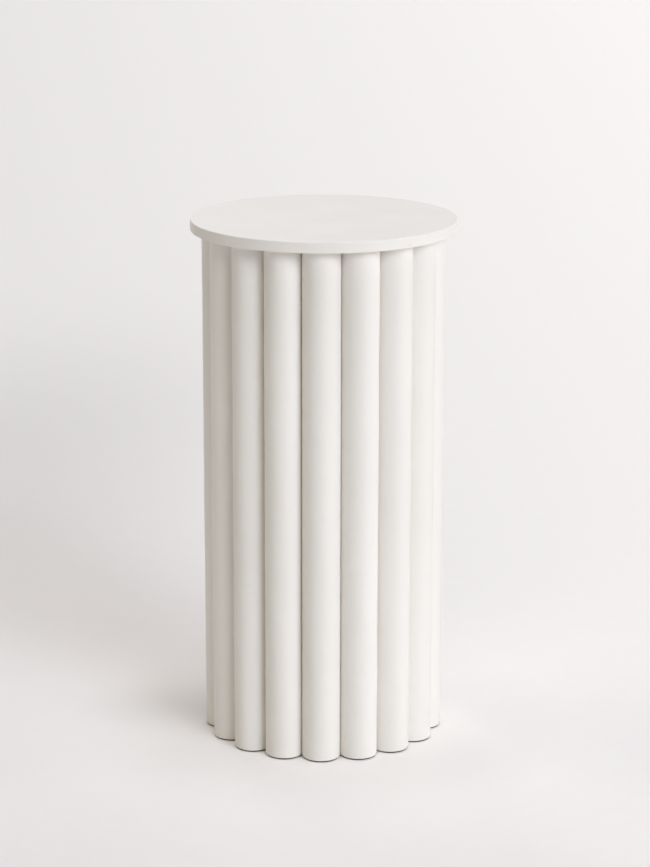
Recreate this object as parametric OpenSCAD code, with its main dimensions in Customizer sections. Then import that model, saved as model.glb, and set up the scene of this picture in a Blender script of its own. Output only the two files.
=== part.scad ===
// Reeded column pedestal: a thin round display top on a ring of round posts
// that stand side by side with a hairline gap, each on its own thin pad.
// The ring is empty inside. The origin is on the floor at the centre of the
// ring, +Z is up, and the first post stands at the front, on -Y.

/* [Posts] */
// Number of posts in the ring
post_count = 17; // [9:1:28]
// Diameter of a post
post_d = 50; // [20:1:80]
// Height of a post, from its pad to the underside of the top
post_h = 688; // [200:1:1200]
// Hairline gap between neighbouring posts where they come closest
post_gap = 0.1; // [0.1:0.1:3]
// Radius of the rounded arris around a post's foot
foot_round = 1; // [0.5:0.1:4]
// Width of the small chamfer around a post's head, where it butts the top
head_chamfer = 0.5; // [0.2:0.1:2]

/* [Pads] */
// How far a pad is set in from the side of its post
pad_inset = 2; // [0.5:0.1:6]
// Thickness of a pad, which is also the shadow gap under a post
pad_t = 2; // [1:0.1:6]

/* [Top] */
// Diameter of the top
top_d = 353; // [200:1:1200]
// Thickness of the top
top_t = 14.5; // [8:0.5:40]
// Radius of the rounded arris along both edges of the top's rim
top_round = 1; // [0.3:0.1:3]

/* [Hidden] */
// Radius of a post
post_r = post_d / 2;
// Radius of a pad
pad_r = post_r - pad_inset;
// Distance between the axes of neighbouring posts
post_pitch = post_d + post_gap;
// Angle from one post to the next around the ring
post_step = 360 / post_count;
// Radius of the circle that the posts' axes stand on
ring_r = post_pitch / (2 * sin(post_step / 2));
// Radius of the top
top_r = top_d / 2;
// Straight steps along the quarter circle of a rounded arris
round_steps = 6;
// Smoothness of the round faces
$fn = 96;

// Node names, numbered from 01 at the front and going anticlockwise
function numbered(name) = [
    for (i = [1 : post_count]) str(name, i < 10 ? "_0" : "_", i)
];
POSTS = numbered("post");
PADS = numbered("pad");

// Points along a quarter circle of radius r about [x, z], from angle a on
function quarter(x, z, r, a) = [
    for (i = [0 : round_steps])
        let (t = a + 90 * i / round_steps)
        [x + r * cos(t), z + r * sin(t)]
];

// Half section of a post: rounded foot, straight side, chamfered head
function post_section() = concat(
    [[0, 0]],
    quarter(post_r - foot_round, foot_round, foot_round, -90),
    [
        [post_r, post_h - head_chamfer],
        [post_r - head_chamfer, post_h],
        [0, post_h]
    ]
);

// Half section of the top: flat faces, upright rim, both arrises rounded
function top_section() = concat(
    [[0, 0]],
    quarter(top_r - top_round, top_round, top_round, -90),
    quarter(top_r - top_round, top_t - top_round, top_round, 0),
    [[0, top_t]]
);

// Moves its children to place i of the ring, counted from 0 at the front
module at_place(i) {
    rotate([0, 0, i * post_step - 90])
        translate([ring_r, 0, 0])
            children();
}

// A post, standing on its pad
module post(i) {
    color("whitesmoke")
        at_place(i)
            translate([0, 0, pad_t])
                rotate_extrude()
                    polygon(post_section());
}

// The thin dark pad under a post's foot
module pad(i) {
    color("dimgray")
        at_place(i)
            cylinder(r = pad_r, h = pad_t);
}

// The round top, lying on the posts' heads
module top() {
    color("whitesmoke")
        translate([0, 0, pad_t + post_h])
            rotate_extrude()
                polygon(top_section());
}

top();
for (i = [0 : post_count - 1]) {
    post(i);
    pad(i);
}
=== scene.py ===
"""Looks of a reeded column pedestal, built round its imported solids.

A thin round top lies on a ring of seventeen full-round posts, each on a thin dark pad.
Everything but the pads is in matt off-white paint.
"""

import math
import bpy
import numpy as np
from mathutils import Euler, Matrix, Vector


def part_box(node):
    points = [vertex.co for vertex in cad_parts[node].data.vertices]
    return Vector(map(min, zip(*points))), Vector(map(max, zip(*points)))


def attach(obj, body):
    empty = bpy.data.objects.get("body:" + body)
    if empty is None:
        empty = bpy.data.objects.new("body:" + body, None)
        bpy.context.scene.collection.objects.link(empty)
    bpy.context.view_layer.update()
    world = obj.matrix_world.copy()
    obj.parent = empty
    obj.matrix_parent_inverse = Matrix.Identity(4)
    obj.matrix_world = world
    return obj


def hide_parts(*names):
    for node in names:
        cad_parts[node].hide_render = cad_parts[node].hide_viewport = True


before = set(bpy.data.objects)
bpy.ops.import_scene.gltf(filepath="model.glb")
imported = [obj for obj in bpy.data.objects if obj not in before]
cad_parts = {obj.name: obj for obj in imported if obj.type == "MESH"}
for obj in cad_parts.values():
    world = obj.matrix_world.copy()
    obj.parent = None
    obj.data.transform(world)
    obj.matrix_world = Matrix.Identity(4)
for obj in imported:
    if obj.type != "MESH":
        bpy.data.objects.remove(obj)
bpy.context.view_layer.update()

# ---------------------------------------------------------------------------------- Posts
# Seventeen lengths of full-round wood, sanded by hand and rolled with two coats of matt
# off-white wall paint, which bridges the hairline gaps between them. Their heads are glued
# under the top, and the arris of every foot is eased with sandpaper.

post_names = sorted(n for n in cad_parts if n.startswith("post_"))
post_low, post_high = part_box(post_names[0])
post_r = (post_high[0] - post_low[0]) / 2
ring_r = -(post_high[1] + post_low[1]) / 2
foot_round = 0.001
head_chamfer = 0.0005
sanding_depth = 0.00012
groove_fill = 0.0005
groove_width = math.radians(16)
groove_in, groove_out = 0.135, 0.150
post_step = 2 * math.pi / len(post_names)


def quarter(r, z, radius, start, steps=6):
    """Points of a quarter circle of the given radius about (r, z), from angle start on."""
    a = np.radians(start + np.linspace(0, 90, steps + 1))
    return np.column_stack([r + radius * np.cos(a), z + radius * np.sin(a)])


def straight(start, end, step):
    """Points from start to end, ends left out, evenly spaced about one step apart."""
    start, end = np.array(start), np.array(end)
    count = max(2, round(float(np.linalg.norm(end - start)) / step))
    t = np.arange(1, count)[:, None] / count
    return start + (end - start) * t


def turned(name, section, turns, place, wander):
    """Surface of revolution about an upright axis through place.

    Point j of the half section, at radius r and height z, is carried round in equal
    steps: vertex (j, k) = place + (r cos a, r sin a, z), where a = 2 pi k / turns, and
    wander(a, r, z) adds the hand-made errors to r and z. The section begins and ends on
    the axis, where one vertex and a fan of triangles close the surface.
    """
    a = 2 * np.pi * np.arange(turns) / turns
    r, z = (np.repeat(column[:, None], turns, axis=1) for column in section[1:-1].T)
    r, z = wander(a[None], r, z)
    rings = np.stack([r * np.cos(a), r * np.sin(a), z], axis=-1).reshape(-1, 3)
    poles = np.array([[0, 0, z[0].mean()], [0, 0, z[-1].mean()]])
    points = np.concatenate([rings, poles]) + [place[0], place[1], 0]
    j, k = np.meshgrid(np.arange(len(r) - 1), np.arange(turns), indexing="ij")
    here, there = j * turns, j * turns + turns
    after = (k + 1) % turns
    quads = np.stack([here + k, here + after, there + after, there + k], -1).reshape(-1, 4)
    k = np.arange(turns)
    after = (k + 1) % turns
    foot, head = np.full(turns, len(rings)), np.full(turns, len(rings) + 1)
    last = (len(r) - 1) * turns
    fans = np.concatenate([
        np.stack([foot, after, k], -1),
        np.stack([head, last + k, last + after], -1),
    ])
    mesh = bpy.data.meshes.new(name)
    mesh.from_pydata(points.tolist(), [], quads.tolist() + fans.tolist())
    mesh.shade_smooth()
    piece = bpy.data.objects.new(name, mesh)
    bpy.context.collection.objects.link(piece)
    return piece


def hand_finished(seed, facing):
    """Hand-made errors of a post that faces outward at angle facing. Sanding leaves the sum
    of nine waves cos(m a + 2 pi z / length + phase), a third of sanding_depth each. Filler
    and paint lie groove_fill exp(-(b / groove_width)^2) thick at angle b from where the
    post touches a neighbour."""
    rng = np.random.default_rng(seed)
    round_waves = rng.integers(0, 5, 9)
    lengths = rng.uniform(0.05, 0.30, 9)
    phases = rng.uniform(0, 2 * np.pi, 9)

    def wander(a, r, z):
        waves = sum(
            np.cos(m * a + 2 * np.pi * z / length + phase)
            for m, length, phase in zip(round_waves, lengths, phases)
        )
        beside = math.pi / 2 + post_step / 2
        fill = 0
        for side in (-1, 1):
            b = (a - facing - side * beside + np.pi) % (2 * np.pi) - np.pi
            fill = fill + np.exp(-(b / groove_width) ** 2)
        inner = np.clip(r / post_r, 0, 1)
        return r + (sanding_depth / 3 * waves + groove_fill * fill) * inner, z

    return wander


def new_material(name):
    """An empty node material, with its tree, its shader and its Object coordinates."""
    material = bpy.data.materials.new(name)
    material.use_nodes = True
    tree = material.node_tree
    shader = tree.nodes["Principled BSDF"]
    where = tree.nodes.new("ShaderNodeTexCoord").outputs["Object"]
    return material, tree, shader, where


def noise(tree, where, per_metre, detail, rough=0.5, stretch=(1, 1, 1)):
    """Noise of about 0 to 1, with per_metre lumps to the metre along each axis."""
    mapping = tree.nodes.new("ShaderNodeMapping")
    mapping.inputs["Scale"].default_value = stretch
    tree.links.new(where, mapping.inputs["Vector"])
    node = tree.nodes.new("ShaderNodeTexNoise")
    node.inputs["Scale"].default_value = per_metre
    node.inputs["Detail"].default_value = detail
    node.inputs["Roughness"].default_value = rough
    tree.links.new(mapping.outputs["Vector"], node.inputs["Vector"])
    return node.outputs["Fac"]


def ramp(tree, value, low, high, out_low, out_high):
    """Value from low to high, carried smoothly to out_low to out_high."""
    node = tree.nodes.new("ShaderNodeMapRange")
    node.interpolation_type = "SMOOTHSTEP"
    ends = {"From Min": low, "From Max": high, "To Min": out_low, "To Max": out_high}
    for socket, number in ends.items():
        node.inputs[socket].default_value = number
    tree.links.new(value, node.inputs["Value"])
    return node.outputs["Result"]


def blend(tree, factor, one, two):
    """Colour from one to two as factor goes from 0 to 1; either is a colour or a socket."""
    node = tree.nodes.new("ShaderNodeMix")
    node.data_type = "RGBA"
    tree.links.new(factor, node.inputs["Factor"])
    for socket, colour in ((node.inputs[6], one), (node.inputs[7], two)):
        if isinstance(colour, tuple):
            socket.default_value = (*colour, 1)
        else:
            tree.links.new(colour, socket)
    return node.outputs[2]


def bump(tree, height, depth, below=None):
    """Bump of the given depth in metres, laid over another bump's normal if one is given."""
    node = tree.nodes.new("ShaderNodeBump")
    node.inputs["Strength"].default_value = 1
    node.inputs["Distance"].default_value = depth
    tree.links.new(height, node.inputs["Height"])
    if below is not None:
        tree.links.new(below, node.inputs["Normal"])
    return node.outputs["Normal"]


def calc(tree, operation, one, two):
    """One or two of them combined by the named sum; each is a number or a socket."""
    node = tree.nodes.new("ShaderNodeMath")
    node.operation = operation
    for socket, value in zip(node.inputs, (one, two)):
        if isinstance(value, (int, float)):
            socket.default_value = value
        else:
            tree.links.new(value, socket)
    return node.outputs["Value"]


def distance(tree, where, centre, spread):
    """Length of the way from the centre, divided first by the spread, axis by axis."""
    away = where
    for operation, vector in (("SUBTRACT", centre), ("DIVIDE", spread)):
        node = tree.nodes.new("ShaderNodeVectorMath")
        node.operation = operation
        tree.links.new(away, node.inputs[0])
        node.inputs[1].default_value = vector
        away = node.outputs["Vector"]
    node = tree.nodes.new("ShaderNodeVectorMath")
    node.operation = "LENGTH"
    tree.links.new(away, node.inputs[0])
    return node.outputs["Value"]


def soft_spot(tree, where, centre, spread):
    """exp(-d^2), where d is the distance from the centre in units of the spread."""
    square = calc(tree, "POWER", distance(tree, where, centre, spread), 2)
    return calc(tree, "EXPONENT", calc(tree, "MULTIPLY", square, -1), 0)


def matt_paint(name, cloud_stretch, gloss, groove_shade=False, pinholes=()):
    """Matt off-white wall paint: faint clouds where the roller overlapped, a finer mottle,
    the fine stipple of a foam roller, sheen that comes and goes with the coat, and brown
    pinholes in the filler, each given by its place and its radius. If asked, a painted
    shade makes it warmer and a little less blue in the crevices between the posts, nearer
    than groove_out to the pedestal's axis.
    Gloss is the mean roughness and the strength of the sheen."""
    material, tree, shader, where = new_material(name)
    thin, full, dusty = (0.829, 0.803, 0.772), (0.851, 0.827, 0.798), (0.822, 0.795, 0.763)
    painted_groove_shade, brown = (0.845, 0.805, 0.745), (0.75, 0.70, 0.62)
    clouds = ramp(tree, noise(tree, where, 9, 3, 0.5, cloud_stretch), 0.32, 0.68, 0, 1)
    mottle = ramp(tree, noise(tree, where, 70, 4, 0.6), 0.50, 0.78, 0, 0.6)
    tone = blend(tree, mottle, blend(tree, clouds, thin, full), dusty)
    # Painted shade: the crevices between the posts are tinted warmer and less blue, like their
    # shade.
    if groove_shade:
        from_axis = distance(tree, where, (0, 0, 0), (1, 1, 1000))
        depth = ramp(tree, from_axis, groove_in, groove_out, 1, 0)
        tone = blend(tree, depth, tone, painted_groove_shade)
    for place, radius in pinholes:
        hole = soft_spot(tree, where, place, (radius, radius, radius))
        tone = blend(tree, hole, tone, brown)
    tree.links.new(tone, shader.inputs["Base Color"])
    rough, shine = gloss
    sheen = ramp(tree, noise(tree, where, 25, 3), 0.3, 0.7, rough - 0.06, rough + 0.06)
    tree.links.new(sheen, shader.inputs["Roughness"])
    shader.inputs["Specular IOR Level"].default_value = shine
    coat = bump(tree, noise(tree, where, 45, 2), 0.00012)
    stipple = bump(tree, noise(tree, where, 1100, 2, 0.6), 0.00002, coat)
    tree.links.new(stipple, shader.inputs["Normal"])
    return material


def stand(number):
    """Angle that post and pad of this number stand at round the ring, and their place."""
    angle = post_step * number - math.pi / 2
    return angle, (ring_r * math.cos(angle), ring_r * math.sin(angle))


post_paint = matt_paint("matt paint on the posts", (1, 1, 0.45), (0.56, 0.4), groove_shade=True)
foot_z, head_z = post_low[2], post_high[2]
post_section = np.concatenate([
    [[0, foot_z]],
    straight([0, foot_z], [post_r - foot_round, foot_z], 0.006),
    quarter(post_r - foot_round, foot_z + foot_round, foot_round, -90),
    [[post_r, foot_z + 2 * foot_round]],
    straight([post_r, foot_z + 2 * foot_round], [post_r, head_z - 3 * head_chamfer], 0.011),
    [[post_r, head_z - 3 * head_chamfer], [post_r, head_z - head_chamfer]],
    [[post_r - head_chamfer, head_z]],
    straight([post_r - head_chamfer, head_z], [0, head_z], 0.008),
    [[0, head_z]],
])
for number, node_name in enumerate(post_names):
    angle, place = stand(number)
    post = turned("painted_" + node_name, post_section, 96, place, hand_finished(number, angle))
    post.data.materials.append(post_paint)
    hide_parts(node_name)
    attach(post, "root")

# ----------------------------------------------------------------------------------- Pads
# A thin disc of dark rubber is stuck under every post, a hair smaller than the post, so
# that the paint never touches the floor. It shows as a dark line round each foot.

pad_low, pad_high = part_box("pad_01")
pad_r = (pad_high[0] - pad_low[0]) / 2
pad_t = pad_high[2] - pad_low[2]
pad_round = 0.0003


def as_cut(a, r, z):
    """No error at all: the pads are die-cut."""
    return r, z


def dark_rubber(name):
    """Dusty black rubber with a fine grain."""
    material, tree, shader, where = new_material(name)
    clean, dusty = (0.045, 0.036, 0.025), (0.075, 0.062, 0.044)
    dust = ramp(tree, noise(tree, where, 160, 4, 0.6), 0.45, 0.75, 0, 1)
    tree.links.new(blend(tree, dust, clean, dusty), shader.inputs["Base Color"])
    shader.inputs["Roughness"].default_value = 0.85
    tree.links.new(bump(tree, noise(tree, where, 2500, 2), 0.00003), shader.inputs["Normal"])
    return material


pad_rubber = dark_rubber("dark rubber")
pad_section = np.concatenate([
    [[0, 0]],
    straight([0, 0], [pad_r - pad_round, 0], 0.006),
    quarter(pad_r - pad_round, pad_round, pad_round, -90, 3),
    quarter(pad_r - pad_round, pad_t - pad_round, pad_round, 0, 3),
    straight([pad_r - pad_round, pad_t], [0, pad_t], 0.006),
    [[0, pad_t]],
])
for number, node_name in enumerate(post_names):
    angle, place = stand(number)
    pad_name = node_name.replace("post", "pad")
    pad = turned("rubber_" + pad_name, pad_section, 64, place, as_cut)
    pad.data.materials.append(pad_rubber)
    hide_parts(pad_name)
    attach(pad, "root")

# ------------------------------------------------------------------------------------ Top
# A disc sawn from a board about 15 mm thick, both edges just eased, filled and rolled
# with the same paint. It lies on the posts' heads and hangs over them evenly all round.

top_low, top_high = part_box("top")
inside_cad = 0.00005
top_r = min(top_high[0] - top_low[0], top_high[1] - top_low[1]) / 2 - inside_cad
top_z, rim_z = top_high[2], top_low[2]
top_round = 0.001


def rolled_flat(a, r, z):
    """Unevenness of the filled board: the face dips by up to 0.04 mm in long low waves,
    and the rim's radius falls short by up to 0.04 mm."""
    x, y = r * np.cos(a), r * np.sin(a)
    face = 2 + np.cos(31 * x + 12 * y + 1) + np.cos(17 * y - 23 * x + 4)
    rim = 2 + np.cos(7 * a + 1) + np.cos(11 * a + 190 * z)
    edge = np.clip((r - top_r + 2 * top_round) / top_round, 0, 1)
    above = np.clip((z - rim_z) / (top_z - rim_z), 0, 1)
    return r - 0.00001 * rim * edge, z - 0.00001 * face * above


def on_the_rim(degrees, below):
    """Place on the rim, degrees to the right of the front and so far below the top face."""
    a = math.radians(degrees)
    return (top_r * math.sin(a), -top_r * math.cos(a), top_z - below)


rim_pinholes = ((on_the_rim(51.2, 0.0022), 0.0011), (on_the_rim(39.6, 0.0101), 0.0013))
top_paint = matt_paint("matt paint on the top", (1, 1, 1), (0.7, 0.23), pinholes=rim_pinholes)
top_section = np.concatenate([
    [[0, rim_z]],
    straight([0, rim_z], [top_r - 2 * top_round, rim_z], 0.012),
    [[top_r - 2 * top_round, rim_z]],
    quarter(top_r - top_round, rim_z + top_round, top_round, -90),
    straight([top_r, rim_z + top_round], [top_r, top_z - top_round], 0.002),
    quarter(top_r - top_round, top_z - top_round, top_round, 0),
    [[top_r - 2 * top_round, top_z]],
    straight([top_r - 2 * top_round, top_z], [0, top_z], 0.006),
    [[0, top_z]],
])
top = turned("painted_top", top_section, 360, (0, 0), rolled_flat)
top.data.materials.append(top_paint)
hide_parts("top")
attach(top, "root")

# ---------------------------------------------------------------------------------- Floor
# The studio floor is a wide sheet of pale matt paper that runs back without a seam and
# melts into the pale room far away. To the eye it is painted lighter on the right and in
# the distance than near by on the left, and painted shade and light lie round the object.

floor_r = 16.0
room_colour = (0.86, 0.84, 0.83)


def paper_floor():
    """Flat disc: ring j has radius floor_r (j / rings) squared, so that the rings are
    close together near the object, and vertex (j, k) stands at angle 2 pi k / turns."""
    rings, turns = 24, 64
    a = 2 * np.pi * np.arange(turns) / turns
    r = floor_r * (np.arange(1, rings + 1)[:, None] / rings) ** 2
    points = np.stack([r * np.cos(a), r * np.sin(a), np.zeros((rings, turns))], -1).reshape(-1, 3)
    points = np.concatenate([points, [[0, 0, 0]]])
    j, k = np.meshgrid(np.arange(rings - 1), np.arange(turns), indexing="ij")
    after = (k + 1) % turns
    near, far = j * turns, (j + 1) * turns
    quads = np.stack([near + k, far + k, far + after, near + after], -1)
    k = np.arange(turns)
    fan = np.stack([np.full(turns, len(points) - 1), k, (k + 1) % turns], -1)
    mesh = bpy.data.meshes.new("paper_floor")
    mesh.from_pydata(points.tolist(), [], quads.reshape(-1, 4).tolist() + fan.tolist())
    piece = bpy.data.objects.new("paper_floor", mesh)
    bpy.context.collection.objects.link(piece)
    return piece


def seen_directly(tree):
    """1 for rays from the camera, from a gloss or through glass, 0 for light's own bounces."""
    ray = tree.nodes.new("ShaderNodeLightPath").outputs
    clear = calc(tree, "MAXIMUM", ray["Is Glossy Ray"], ray["Is Transmission Ray"])
    return calc(tree, "MAXIMUM", ray["Is Camera Ray"], clear)


def pale_paper(name):
    """Pale paper. Its shade to the eye is painted light and shade, plain + fall w + s (drift +
    near w), where w = 1 / (y + reach) and s = x w, so it changes evenly across the camera's view
    and is lighter to the right and far back. Painted shade makes it a little dimmer behind the
    object on the left, a painted shadow of the posts darkens it at their feet on the left, and
    painted light brightens it at their feet on the right. Outside an oval of 8 by 13 metres the
    paper fades into the room."""
    material, tree, shader, where = new_material(name)
    reach, plain, fall, drift, near = 3.87, 1.03, -0.49, 0.79, -1.43
    least_back, most_across = 2.2, 0.13
    # Painted shade and light, each as strength, centre and spread: a dim patch behind the object
    # on the left, a painted shadow at the posts' feet on the left, painted light at their feet on
    # the right.
    painted_patches = (
        (-0.10, (-0.56, 1.57, 0), (0.4, 0.8, 1)),
        (-0.12, (-0.15, 0.04, 0), (0.13, 0.07, 1)),
        (0.20, (0.08, 0.03, 0), (0.13, 0.15, 1)),
    )
    tint, own_colour = (1.0, 0.970, 0.952), (0.83, 0.81, 0.795)
    axes = tree.nodes.new("ShaderNodeSeparateXYZ")
    tree.links.new(where, axes.inputs["Vector"])
    # The seen shade is painted light: lighter to the right and further back.
    back = calc(tree, "MAXIMUM", calc(tree, "ADD", axes.outputs["Y"], reach), least_back)
    w = calc(tree, "DIVIDE", 1, back)
    s = calc(tree, "MULTIPLY", axes.outputs["X"], w)
    s = calc(tree, "MINIMUM", calc(tree, "MAXIMUM", s, -most_across), most_across)
    across = calc(tree, "MULTIPLY", s, calc(tree, "ADD", calc(tree, "MULTIPLY", w, near), drift))
    shade = calc(tree, "ADD", calc(tree, "ADD", calc(tree, "MULTIPLY", w, fall), plain), across)
    for strength, centre, spread in painted_patches:
        painted_patch = soft_spot(tree, where, centre, spread)
        shade = calc(tree, "ADD", shade, calc(tree, "MULTIPLY", painted_patch, strength))
    grain = ramp(tree, noise(tree, where, 30, 5, 0.7), 0.3, 0.7, 0.995, 1.005)
    shade = calc(tree, "MULTIPLY", shade, grain)
    shown = tree.nodes.new("ShaderNodeVectorMath")
    shown.operation = "SCALE"
    shown.inputs[0].default_value = tint
    tree.links.new(shade, shown.inputs["Scale"])
    colour = blend(tree, seen_directly(tree), own_colour, shown.outputs["Vector"])
    tree.links.new(colour, shader.inputs["Base Color"])
    shader.inputs["Roughness"].default_value = 0.9
    shader.inputs["Specular IOR Level"].default_value = 0
    far = ramp(tree, distance(tree, where, (0, 4.5, 0), (4, 6.5, 1)), 1, 1.6, 0, 1)
    haze = tree.nodes.new("ShaderNodeEmission")
    haze.inputs["Color"].default_value = (*room_colour, 1)
    both = tree.nodes.new("ShaderNodeMixShader")
    tree.links.new(calc(tree, "MULTIPLY", far, seen_directly(tree)), both.inputs["Fac"])
    tree.links.new(shader.outputs["BSDF"], both.inputs[1])
    tree.links.new(haze.outputs["Emission"], both.inputs[2])
    tree.links.new(both.outputs["Shader"], tree.nodes["Material Output"].inputs["Surface"])
    return material


floor = paper_floor()
floor.data.materials.append(pale_paper("pale paper"))

# --------------------------------------------------------------------------------- Lights
# A ceiling of soft light, a broad window to the right of the front, low light that comes
# round the right side and back off pale walls, and weak fill from the left and the front.
# The world is only the pale room that shows past the floor and in reflections.

world = bpy.data.worlds.new("studio")
bpy.context.scene.world = world
world.use_nodes = True
room = world.node_tree.nodes["Background"]
room.inputs["Color"].default_value = (*room_colour, 1)
world.node_tree.links.new(seen_directly(world.node_tree), room.inputs["Strength"])


def soft_light(name, azimuth, elevation, width, strength, colour):
    """Distant soft light, width degrees across, from azimuth degrees to the right of the
    front and elevation degrees up. Strength 1 lights a face turned to it fully."""
    lamp = bpy.data.lights.new(name, "SUN")
    lamp.angle = math.radians(width)
    lamp.energy = math.pi * strength
    lamp.color = colour
    lit = bpy.data.objects.new(name, lamp)
    bpy.context.collection.objects.link(lit)
    a, e = math.radians(azimuth), math.radians(elevation)
    towards = Vector((math.sin(a) * math.cos(e), -math.cos(a) * math.cos(e), math.sin(e)))
    lit.rotation_euler = (-towards).to_track_quat("-Z", "Y").to_euler()


soft_light("fill, left", -100, 45, 40, 0.13, (1.00, 0.97, 0.85))
soft_light("low, back left", -160, 8, 20, 0.33, (0.99, 0.99, 1.00))
soft_light("low, left", -60, 8, 20, 0.04, (1.00, 0.78, 0.26))
soft_light("fill, front", 0, 45, 40, 0.11, (1.00, 0.95, 0.65))
soft_light("ceiling", 0, 90, 30, 0.45, (0.93, 0.92, 1.00))
soft_light("low, right", 100, 8, 20, 0.17, (1.00, 0.98, 0.90))
soft_light("low, back right", 160, 8, 20, 0.17, (0.97, 1.00, 0.85))
soft_light("window, near side", 30, 25, 25, 0.28, (0.89, 0.93, 1.00))
soft_light("window, far side", 45, 25, 25, 0.26, (0.78, 0.84, 1.00))
soft_light("low, right front", 60, 8, 20, 0.15, (1.00, 0.95, 0.79))


# --------------------------------------------------------------------------------- Camera
# A long lens on a tall tripod, tipped down so that the whole round top shows. It stands
# one degree to the right of the front and is level within a tenth of a degree. Lengths
# are in metres and angles in degrees.

camera_back = 3.512
camera_side = 0.002
camera_height = 1.344
camera_pitch = 14.9
camera_heading = 1.085
camera_roll = 0.09
focal_mm = 112.1

turn = math.radians(camera_heading)
camera_data = bpy.data.cameras.new("camera")
camera_data.lens = focal_mm
camera = bpy.data.objects.new("camera", camera_data)
bpy.context.collection.objects.link(camera)
camera.location = (
    camera_side * math.cos(turn) + camera_back * math.sin(turn),
    camera_side * math.sin(turn) - camera_back * math.cos(turn),
    camera_height,
)
camera.rotation_euler = Euler((math.radians(90 - camera_pitch), 0, turn))
camera.rotation_euler.rotate_axis("Z", math.radians(camera_roll))
bpy.context.scene.camera = camera
bpy.context.scene.view_settings.view_transform = "Standard"
